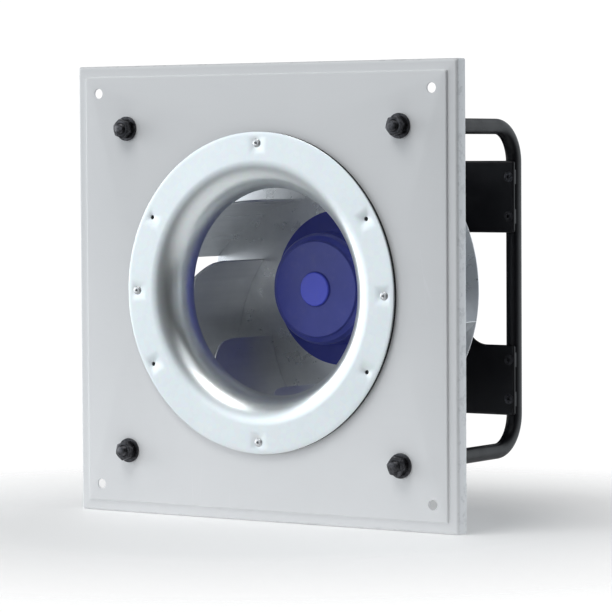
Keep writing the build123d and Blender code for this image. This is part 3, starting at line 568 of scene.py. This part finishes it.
def panel_mesh():
    bm = bmesh.new()
    # section across the rim: (distance in from the edge, y, corner radius), front skin from the main face outwards
    sec = [(BORDER + 1.7, 0.0)]
    for j in range(1, 6):                                     # soft shoulder of the raised face
        a = rad(90 * j / 5)
        sec.append((BORDER + 1.7 - 1.6 * math.sin(a), 1.6 - 1.6 * math.cos(a)))
    sec += [(BORDER + 0.05, STEP - 0.35), (BORDER - 0.1, STEP - 0.08), (BORDER - 0.5, STEP)]
    sec.append((BEND + 0.1, STEP))
    for j in range(1, 11):                                    # outer bend
        a = rad(90 * j / 10)
        sec.append((BEND - BEND * math.sin(a), STEP + BEND - BEND * math.cos(a)))
    sec += [(0.0, 10.0), (0.0, DEPTH - 0.35), (0.12, DEPTH - 0.08), (0.35, DEPTH), (T - 0.35, DEPTH), (T - 0.12, DEPTH - 0.08), (T, DEPTH - 0.35)]
    sec.append((T, STEP + BEND))
    for j in range(1, 5):
        a = rad(90 * j / 4)
        sec.append((BEND - (BEND - T) * math.cos(a), STEP + BEND - (BEND - T) * math.sin(a)))
    sec += [(BORDER - 0.3, STEP + T), (BORDER + 1.2, STEP + T - 0.1), (BORDER + 2.0, STEP + T - 0.7), (BORDER + 2.2, T + 0.3), (BORDER + 2.6, T)]
    loops = []
    for d, y in sec:
        rc = max(0.3, 2.2 - max(0.0, d) * 0.05)
        loops.append(loop_verts(bm, square(H - d, rc), y))
    for a, b in zip(loops, loops[1:]):
        bridge(bm, a, b)
    # main sheet with its openings
    holes = [(0.0, 0.0, 150.0, 160)]
    for sx in (-1, 1):
        for sz in (-1, 1):
            holes.append((sx * HOLE_POS, sz * HOLE_POS, HOLE_R, 40))
            holes.append((sx * STUD_POS, sz * STUD_POS, 6.5, 32))
    for k in (30, 150, 210, 330):
        holes.append((163.0 * math.cos(rad(k)), 163.0 * math.sin(rad(k)), 2.3, 24))
    for k in (0, 90, 180, 270):
        holes.append((163.0 * math.cos(rad(k)), 163.0 * math.sin(rad(k)), 2.45, 24))
    fl, bl = [loops[0]], [loops[-1]]
    for cx, cz, r, n in holes:
        e = 0.25
        f0 = loop_verts(bm, circle_pts(cx, cz, r + e, n), 0.0)
        f1 = loop_verts(bm, circle_pts(cx, cz, r, n), e)
        b1 = loop_verts(bm, circle_pts(cx, cz, r, n), T - e)
        b0 = loop_verts(bm, circle_pts(cx, cz, r + e, n), T)
        bridge(bm, f0, f1)
        bridge(bm, f1, b1)
        bridge(bm, b1, b0)
        fl.append(f0)
        bl.append(b0)
    fill(bm, fl, (0, -1, 0))
    fill(bm, bl, (0, 1, 0))
    return finish_mesh("inlet_panel_sheet", bm, "panel_paint", "fan_frame", ("inlet_panel",), 40.0, 1e-7)


panel_mesh()

# ------------------------------------------------------------------ nozzle and gasket
NR, NT, NF, NB, NTH, NE = 175.4, 1.5, -5.5, 145.0, 114.0, 35.0


def nozzle_mesh():
    bm = bmesh.new()
    cyl, rt, ya = NF + NT / 2, NTH + NT / 2, 31.0
    bell = [(150.0 - 0.5 * j, cyl) for j in range(0, 10)]
    for k in range(0, 41):
        f = rad(90 * k / 40)
        bell.append((NB - (NB - rt) * math.sin(f), ya - (ya - cyl) * math.cos(f)))
    bell += [(rt, 33.0), (rt, NE - NT / 2)]
    fr, bk = offset_line(bell, NT / 2), offset_line(bell, -NT / 2)
    # offset_line's side: make fr the front (smaller y on the flat part)
    if fr[0][1] > bk[0][1]:
        fr, bk = bk, fr
    c = Vector(bell[-1])
    tip = []
    for j in range(1, 8):
        f = pi * j / 8
        p = Vector(fr[-1]) - c
        tip.append((c.x + p.x * math.cos(f), c.y + NT / 2 * math.sin(f)))
    inner = fr + tip + bk[::-1]
    seg = 240
    rows = lathe_into(bm, inner, seg, closed=False)
    # rim: from the front flat at r 172 round the edge to the back flat
    e = 0.6
    rim = [(171.5, NF), (NR - e, NF)]
    for j in range(1, 5):
        a = rad(90 * j / 4)
        rim.append((NR - e + e * math.sin(a), NF + e - e * math.cos(a)))
    for j in range(0, 5):
        a = rad(90 * j / 4)
        rim.append((NR - e + e * math.cos(a), NF + NT - e + e * math.sin(a)))
    rim += [(171.5, NF + NT)]
    rr = lathe_into(bm, rim, seg, closed=False)
    holes = [(163.0 * math.cos(rad(k)), 163.0 * math.sin(rad(k)), 2.3, 28) for k in (30, 150, 210, 330)]
    holes += [(163.0 * math.cos(rad(k)), 163.0 * math.sin(rad(k)), 2.45, 28) for k in (0, 90, 180, 270)]
    fl, bl = [rr[0], rows[0]], [rr[-1], rows[-1]]
    for cx, cz, r, n in holes:
        e = 0.3
        f0 = loop_verts(bm, circle_pts(cx, cz, r + e, n), NF)
        f1 = loop_verts(bm, circle_pts(cx, cz, r + 0.08, n), NF + 0.1)
        f2 = loop_verts(bm, circle_pts(cx, cz, r, n), NF + e)
        b0 = loop_verts(bm, circle_pts(cx, cz, r, n), NF + NT)
        bridge(bm, f0, f1)
        bridge(bm, f1, f2)
        bridge(bm, f2, b0)
        fl.append(f0)
        bl.append(b0)
    fill(bm, fl, (0, -1, 0))
    fill(bm, bl, (0, 1, 0))
    return finish_mesh("bell_mouth_nozzle", bm, "nozzle_paint", "fan_frame", ("inlet_nozzle",), 40.0, 1e-7)


nozzle_mesh()


def gasket_mesh():
    bm = bmesh.new()
    prof = fillet2d([(150.0, 0.0), (150.0, NF + NT), (175.2, NF + NT), (175.2, 0.0)], [0.3, 0.3, 0.4, 0.4], 4)
    lathe_into(bm, prof, 240)
    return finish_mesh("nozzle_seal_ring", bm, "gasket_rubber", "fan_frame", ("nozzle_gasket",))


gasket_mesh()


def rivets_mesh():
    bm = bmesh.new()
    for k in range(4):
        cx, cz = 163.0 * math.cos(rad(90 * k)), 163.0 * math.sin(rad(90 * k))
        dome = [(0.0, NF + 1.0), (1.15, NF + 1.0), (1.35, NF - 1.2)]
        for j in range(0, 11):
            a = rad(8 + 74 * j / 10)
            dome.append((1.35 + 3.45 * math.sin(a) ** 1.0 * 0.995, NF - 0.02 - 1.62 * math.cos(a) ** 0.9))
        dome += [(4.8, NF), (2.4, NF), (2.4, 2.0), (3.4, 2.05), (3.8, 2.9), (3.6, 4.0), (2.6, 4.8), (1.3, 5.2), (0.0, 5.2)]
        lathe_into(bm, dome, 48, cx, cz, closed=False)
    return finish_mesh("flange_pop_rivets", bm, "rivet_metal", "fan_frame", ("nozzle_rivets",), 38.0)


rivets_mesh()


# ------------------------------------------------------------------ hexagon fasteners and threads
def hex_into(bm, af, y_top, y_bot, cx, cz, turn, bore=0.0, two_sided=False, per=14, washer=0.0, bore_r=None):
    """Nut or bolt head along Y with the 30 degree turned chamfer. y_top is the free face."""
    s = -1.0 if y_top < y_bot else 1.0
    n = 6 * per
    c = af / 2 * 0.95
    rows = []

    def rhex(a):
        q = (a - rad(turn) + rad(30)) % rad(60) - rad(30)
        return (af / 2) / math.cos(q)

    ang = [rad(turn) + 2 * pi * (j / n) + rad(30) for j in range(n)]

    def row(f):
        out = []
        for a in ang:
            r, y = f(a)
            out.append(bm.verts.new(((cx + r * math.cos(a)) * MM, y * MM, (cz + r * math.sin(a)) * MM)))
        return out

    k = math.tan(rad(30))
    top = []
    if bore > 0:
        top.append(row(lambda a: (bore, y_top - s * (abs(y_top - y_bot) * 0.5))))
        top.append(row(lambda a: (bore, y_top - s * 0.8)))
        top.append(row(lambda a: (bore + 0.7, y_top)))
    else:
        ctr = bm.verts.new((cx * MM, y_top * MM, cz * MM))
        top.append([ctr] * n)
    top.append(row(lambda a: (c - 0.15, y_top)))
    top.append(row(lambda a: (c + (rhex(a) - c) * 0.25, y_top - s * (0.06 + (rhex(a) - c) * 0.25 * k))))
    top.append(row(lambda a: (rhex(a) - 0.05, y_top - s * (rhex(a) - c) * k)))
    top.append(row(lambda a: (rhex(a), y_top - s * ((rhex(a) - c) * k + 0.12))))
    if two_sided:
        top.append(row(lambda a: (rhex(a), y_bot + s * ((rhex(a) - c) * k + 0.12))))
        top.append(row(lambda a: (rhex(a) - 0.05, y_bot + s * (rhex(a) - c) * k)))
        top.append(row(lambda a: (c - 0.15, y_bot)))
    else:
        top.append(row(lambda a: (rhex(a), y_bot)))
    if bore > 0:
        top.append(row(lambda a: (bore, y_bot)))
        top.append(top[0])
    else:
        ctr = bm.verts.new((cx * MM, y_bot * MM, cz * MM))
        top.append([ctr] * n)
    for a, b in zip(top, top[1:]):
        for j in range(n):
            q = []
            for v in (a[j], a[(j + 1) % n], b[(j + 1) % n], b[j]):
                if v not in q:
                    q.append(v)
            if len(q) >= 3:
                bm.faces.new(q)


def thread_into(bm, r, pitch, y0, y1, cx, cz, depth=None, cols=40, per=7, phase=0.0, cham=1.0):
    """Threaded rod from y0 to y1 with chamfered ends, closed."""
    depth = depth or pitch * 0.55
    n = max(2, int(abs(y1 - y0) / pitch * per))
    rows = []
    for i in range(n + 1):
        y = y0 + (y1 - y0) * i / n
        end = min(abs(y - y0), abs(y1 - y))
        lim = r - cham + end if end < cham else r
        row = []
        for j in range(cols):
            a = 2 * pi * j / cols
            f = (y / pitch - a / (2 * pi) + phase) % 1.0
            w = 1 - abs(2 * f - 1)                      # 0 at the root, 1 at the crest
            w = min(1.0, max(0.0, (w - 0.12) / 0.66))
            rr = min(r - depth * (1 - w), lim)
            row.append(bm.verts.new(((cx + rr * math.cos(a)) * MM, y * MM, (cz + rr * math.sin(a)) * MM)))
        rows.append(row)
    for a, b in zip(rows, rows[1:]):
        bridge(bm, a, b)
    for row, y in ((rows[0], y0), (rows[-1], y1)):
        c = bm.verts.new((cx * MM, y * MM, cz * MM))
        for j in range(cols):
            bm.faces.new((row[j], row[(j + 1) % cols], c))


SIGNS = [(-1, 1), (1, 1), (1, -1), (-1, -1)]
TURNS = {(-1, 1): 12, (1, 1): 41, (1, -1): 22, (-1, -1): 50}
WT, NH = 2.5, 10.0

bm = bmesh.new()
for i, (sx, sz) in enumerate(SIGNS):
    hex_into(bm, 19.0, -WT - NH, -WT, sx * 180.0, sz * 180.0, TURNS[(sx, sz)], bore=5.95, two_sided=True)
finish_mesh("stud_nut_set", bm, "black_hardware", "fan_frame", ("stud_nuts",), 28.0, 1e-7)

bm = bmesh.new()
for i, (sx, sz) in enumerate(SIGNS):
    thread_into(bm, 6.0, 1.75, -16.0, 32.0, sx * 180.0, sz * 180.0, depth=0.95, cols=48, phase=0.23 * i, cham=1.1)
finish_mesh("threaded_stud_set", bm, "black_hardware", "fan_frame", ("support_studs",), 50.0, 1e-7)

bm = bmesh.new()
for sx, sz in SIGNS:
    prof = fillet2d([(6.4, -WT), (13.5, -WT), (13.5, 0.0), (6.4, 0.0)], [0.3, 0.55, 0.25, 0.2], 4)
    lathe_into(bm, prof, 72, sx * 180.0, sz * 180.0)
finish_mesh("front_washer_set", bm, "black_hardware", "fan_frame", ("stud_washers",))

bm = bmesh.new()
for sx, sz in SIGNS:
    prof = fillet2d([(6.4, 2.0), (14.0, 2.0), (14.0, 4.5), (6.4, 4.5)], [0.2, 0.3, 0.5, 0.2], 4)
    lathe_into(bm, prof, 72, sx * 180.0, sz * 180.0)
finish_mesh("rear_washer_set", bm, "black_hardware", "fan_frame", ("rear_washers",))


# ------------------------------------------------------------------ support tubes
def tube_mesh(name, x, node):
    s, b, r, start = 180.0, 238.0, 40.0, 4.5
    path, tang = [], []
    for j in range(0, 13):
        path.append((start + (b - r - start) * j / 12, s)); tang.append((1.0, 0.0))
    for j in range(1, 25):
        a = rad(90 * j / 24)
        path.append((b - r + r * math.sin(a), s - r + r * math.cos(a))); tang.append((math.cos(a), -math.sin(a)))
    for j in range(1, 17):
        path.append((b, s - r - (2 * s - 2 * r) * j / 16)); tang.append((0.0, -1.0))
    for j in range(1, 25):
        a = rad(90 * j / 24)
        path.append((b - r + r * math.cos(a), -s + r - r * math.sin(a))); tang.append((-math.sin(a), -math.cos(a)))
    for j in range(1, 13):
        path.append((b - r - (b - r - start) * j / 12, -s)); tang.append((-1.0, 0.0))
    bm = bmesh.new()
    n, ro, ri = 56, 8.6, 7.1
    outer, inner = [], []
    for i, ((py, pz), (ty, tz)) in enumerate(zip(path, tang)):
        nrm = Vector((0.0, -tz, ty))
        for rr, store in ((ro, outer), (ri, inner)):
            row = []
            for j in range(n):
                a = 2 * pi * j / n
                v = Vector((x, py, pz)) + Vector((1, 0, 0)) * rr * math.cos(a) + nrm * rr * math.sin(a)
                row.append(bm.verts.new(v * MM))
            store.append(row)
    for st in (outer, inner):
        for a, b2 in zip(st, st[1:]):
            bridge(bm, a, b2)
    bridge(bm, outer[0], inner[0])
    bridge(bm, outer[-1], inner[-1])
    return finish_mesh(name, bm, "bracket_black", "fan_frame", (node,), 40.0, 1e-7)


tube_mesh("left_bent_tube", -180.0, "left_support_tube")
tube_mesh("right_bent_tube", 180.0, "right_support_tube")

# ------------------------------------------------------------------ impeller
IR = 177.5
BPF, BPT = 165.0, 2.0
ST = 1.8
SHP = [(117.7, 29.0), (117.7, 46.0), (131.0, 60.0), (IR, 76.5)]
sh = bezier(SHP, 48)
sh[-1] = (IR - ST / 2 * 0.9, sh[-1][1] - 0.2)
bm = bmesh.new()
lathe_into(bm, sheet_outline(sh, ST, 5), 240)
finish_mesh("impeller_front_shroud", bm, "impeller_metal", "impeller", ("impeller_shroud",))

bm = bmesh.new()
prof = fillet2d([(66.0, BPF), (IR, BPF), (IR, BPF + BPT), (66.0, BPF + BPT)], [0.3, 0.8, 0.8, 0.3], 5)
lathe_into(bm, prof, 240)
finish_mesh("impeller_rear_disc", bm, "impeller_metal", "impeller", ("impeller_backplate",))


def camber(r1, r2, beta1, sweep, n=60, lo_r=None):
    """Angle of the blade's camber line at each radius, zero at r2, in radians."""
    def total(b2):
        s = 0.0
        for i in range(400):
            r = r1 + (r2 - r1) * (i + 0.5) / 400
            b = beta1 + (b2 - beta1) * (r - r1) / (r2 - r1)
            s += (r2 - r1) / 400 / (r * math.tan(rad(b)))
        return math.degrees(s)
    lo, hi = 12.0, 70.0
    for _ in range(60):
        mid = (lo + hi) / 2
        if total(mid) > sweep:
            lo = mid
        else:
            hi = mid
    b2 = (lo + hi) / 2
    out, th, r, step = [(r1, 0.0)], 0.0, r1, (r2 - r1) / (n * 8)
    for i in range(n * 8):
        b = beta1 + (b2 - beta1) * (r + step / 2 - r1) / (r2 - r1)
        th += step / ((r + step / 2) * math.tan(rad(b)))
        r += step
        if (i + 1) % 8 == 0:
            out.append((r, th))
    return [(a, b - out[-1][1]) for a, b in out]


BR1, BTE, BSW, BT, BB1 = 114.0, -10.95, 49.5, 2.2, 23.5
flow = offset_line(bezier(SHP, 60), 1.1)
if flow[10][1] < offset_line(bezier(SHP, 60), -1.1)[10][1]:
    flow = offset_line(bezier(SHP, 60), -1.1)
join = min((p for p in flow if p[0] >= 122.0), key=lambda p: p[0])
le = bezier([(BR1, 84.0), (BR1, 62.0), join], 16)


def front_y(r):
    """Front edge of the blade at radius r: its leading edge sweep, then the shroud."""
    def at(line):
        for a, b in zip(line, line[1:]):
            if min(a[0], b[0]) - 1e-9 <= r <= max(a[0], b[0]) + 1e-9 and abs(b[0] - a[0]) > 1e-9:
                return a[1] + (b[1] - a[1]) * (r - a[0]) / (b[0] - a[0])
        return None
    f = at(flow)
    l = at(le) if r <= join[0] else None
    if l is not None and (f is None or r < join[0] - 0.1):
        return l if f is None else max(l, f)
    return f if f is not None else flow[-1][1]


def blades_mesh():
    bm = bmesh.new()
    cam_line = camber(BR1, IR, BB1, BSW, 56)
    nv = 22
    for k in range(8):
        off = rad(BTE + 45.0 * k)
        pts = []
        for r, th in cam_line:
            a = th + off
            pts.append(Vector((r * math.cos(a), r * math.sin(a))))
        sides = []
        for s in (-1, 1):
            grid = []
            for i, p in enumerate(pts):
                a, b = pts[max(i - 1, 0)], pts[min(i + 1, len(pts) - 1)]
                d = (b - a).normalized()
                nrm = Vector((-d.y, d.x))
                q = p + nrm * (BT / 2 * s)
                r = cam_line[i][0]
                y0, y1 = front_y(r), BPF - 0.05
                col = [bm.verts.new((q.x * MM, (y0 + (y1 - y0) * j / nv) * MM, q.y * MM)) for j in range(nv + 1)]
                grid.append(col)
            for i in range(len(grid) - 1):
                for j in range(nv):
                    bm.faces.new((grid[i][j], grid[i + 1][j], grid[i + 1][j + 1], grid[i][j + 1]))
            sides.append(grid)
        a, b = sides
        m = len(a) - 1
        for i in range(m):
            bm.faces.new((a[i][0], a[i + 1][0], b[i + 1][0], b[i][0]))
            bm.faces.new((a[i][nv], a[i + 1][nv], b[i + 1][nv], b[i][nv]))
        for j in range(nv):
            bm.faces.new((a[0][j], a[0][j + 1], b[0][j + 1], b[0][j]))
            bm.faces.new((a[m][j], a[m][j + 1], b[m][j + 1], b[m][j]))
    o = finish_mesh("curved_blade_set", bm, "impeller_metal", "impeller", ("impeller_blades",), 40.0, 0)
    bv = o.modifiers.new("edges", "BEVEL")
    bv.width, bv.segments, bv.limit_method, bv.angle_limit = 0.0005, 2, "ANGLE", rad(50)
    bv.harden_normals = False
    return o


blades_mesh()

# ------------------------------------------------------------------ rotor
RF = 108.0
cup = [(0, RF - 3.2), (17.9, RF - 3.2), (19.0, RF - 2.2), (19.6, RF), (53.5, RF), (54.6, RF + 2.9), (59.6, RF + 5.6), (62.5, RF + 10.5),
       (62.5, 160.0), (88.0, 160.0), (88.0, 165.0), (58.0, 165.0), (58.0, RF + 13.0), (49.0, RF + 5.5), (14.0, RF + 5.5), (12.0, RF + 9.0), (12.0, 123.5), (6.03, 123.5), (6.03, RF - 0.5), (0, RF - 0.5)]
rr = [0, 0.9, 0.5, 0.7, 1.5, 1.3, 2.2, 3.0, 7.0, 0.8, 0.6, 0.5, 3.0, 2.0, 1.0, 1.0, 0.5, 0.3, 0.2, 0]
bm = bmesh.new()
lathe_into(bm, fillet2d(cup, rr, 8), 192, closed=False)
finish_mesh("rotor_bell", bm, "rotor_blue", "impeller", ("rotor_cup",), 30.0)

# ------------------------------------------------------------------ finishes of the CAD pieces that stay as they are
for name, o in N.items():
    if o.hide_render:
        continue
    me = o.data
    me.materials.clear()
    me.materials.append(M[SLOT_OF[name]])
    me.shade_smooth()
    me.set_sharp_from_angle(angle=rad(30))

# ------------------------------------------------------------------ floor, lights, world
bm = bmesh.new()
bmesh.ops.create_circle(bm, cap_ends=True, segments=96, radius=4.0)
me = bpy.data.meshes.new("floor")
bm.to_mesh(me)
bm.free()
floor = bpy.data.objects.new("floor", me)
floor.location = (0, 0, -0.2505)
COL.objects.link(floor)
fm = Mat("floor_paint")
fx, fy, fz = fm.xyz()
far = fm.math("SQRT", fm.math("ADD", fm.math("MULTIPLY", fx, fx), fm.math("MULTIPLY", fy, fy)))
fm.set(color=fm.ramp(fm.noise(0.7, 2.0), [(0.3, (0.90, 0.90, 0.90)), (0.7, (0.93, 0.93, 0.93))]), rough=fm.range(fm.noise(3.0), 0.3, 0.7, 0.6, 0.7), spec=0.1)
fm.b.inputs["Emission Color"].default_value = (1, 1, 1, 1)
fm.b.inputs["Emission Strength"].default_value = FLOOR_GLOW
fm.put(fm.b.inputs["Alpha"], fm.range(far, 0.27, 0.75, 1.0, 0.0))
fm.bump((fm.noise(60.0, 2.0), 0.02, 0.001))
me.materials.append(fm.m)

world = bpy.data.worlds.new("studio")
bpy.context.scene.world = world
world.use_nodes = True
wt = world.node_tree
wt.nodes.clear()


def wn(kind, **kw):
    n = wt.nodes.new(kind)
    for k, v in kw.items():
        setattr(n, k, v)
    return n


def wlink(a, b):
    wt.links.new(a, b)


def wmath(op, a, b):
    n = wn("ShaderNodeMath", operation=op)
    for i, v in enumerate((a, b)):
        if isinstance(v, (int, float)):
            n.inputs[i].default_value = v
        else:
            wlink(v, n.inputs[i])
    return n.outputs[0]


def wstep(v, lo, hi, gain):
    n = wn("ShaderNodeMapRange", interpolation_type="SMOOTHSTEP")
    wlink(v, n.inputs[0])
    for i, q in enumerate((lo, hi, 0.0, gain)):
        n.inputs[i + 1].default_value = q
    return n.outputs[0]


wdir = wn("ShaderNodeTexCoord").outputs["Generated"]
level = None
for az, el, inner, outer, gain in ENV:
    dot = wn("ShaderNodeVectorMath", operation="DOT_PRODUCT")
    wlink(wdir, dot.inputs[0])
    dot.inputs[1].default_value = (math.sin(rad(az)) * math.cos(rad(el)), -math.cos(rad(az)) * math.cos(rad(el)), math.sin(rad(el)))
    lobe = wstep(dot.outputs["Value"], math.cos(rad(outer)), math.cos(rad(inner)), gain)
    level = lobe if level is None else wmath("ADD", level, lobe)
level = wmath("ADD", level, ENV_BASE) if level is not None else wmath("ADD", ENV_BASE, 0.0)
bg1, bg2 = wn("ShaderNodeBackground"), wn("ShaderNodeBackground")
bg1.inputs[0].default_value = (0.90, 0.955, 1.0, 1)
wlink(level, bg1.inputs[1])
bg2.inputs[0].default_value = (1, 1, 1, 1)
bg2.inputs[1].default_value = 1.05
mixn, wo = wn("ShaderNodeMixShader"), wn("ShaderNodeOutputWorld")
wlink(wn("ShaderNodeLightPath").outputs["Is Camera Ray"], mixn.inputs[0])
wlink(bg1.outputs[0], mixn.inputs[1])
wlink(bg2.outputs[0], mixn.inputs[2])
wlink(mixn.outputs[0], wo.inputs[0])


def area(name, az, el, dist, size, power, color=(1, 1, 1), target=(0, 0.08, 0)):
    """Soft box aimed at the fan; azimuth from the inlet side towards +X."""
    l = bpy.data.lights.new(name, "AREA")
    l.shape = "RECTANGLE"
    l.size, l.size_y = size
    l.energy = power
    l.color = color
    o = bpy.data.objects.new(name, l)
    COL.objects.link(o)
    a, e = rad(az), rad(el)
    d = Vector((math.sin(a) * math.cos(e), -math.cos(a) * math.cos(e), math.sin(e)))
    o.location = Vector(target) + d * dist
    o.rotation_mode = "QUATERNION"
    o.rotation_quaternion = (-d).to_track_quat("-Z", "Y")
    o.visible_camera = False
    return o


for args in LIGHTS:
    area(*args)

bpy.context.scene.view_settings.view_transform = "Standard"
bpy.context.scene.view_settings.look = "None"
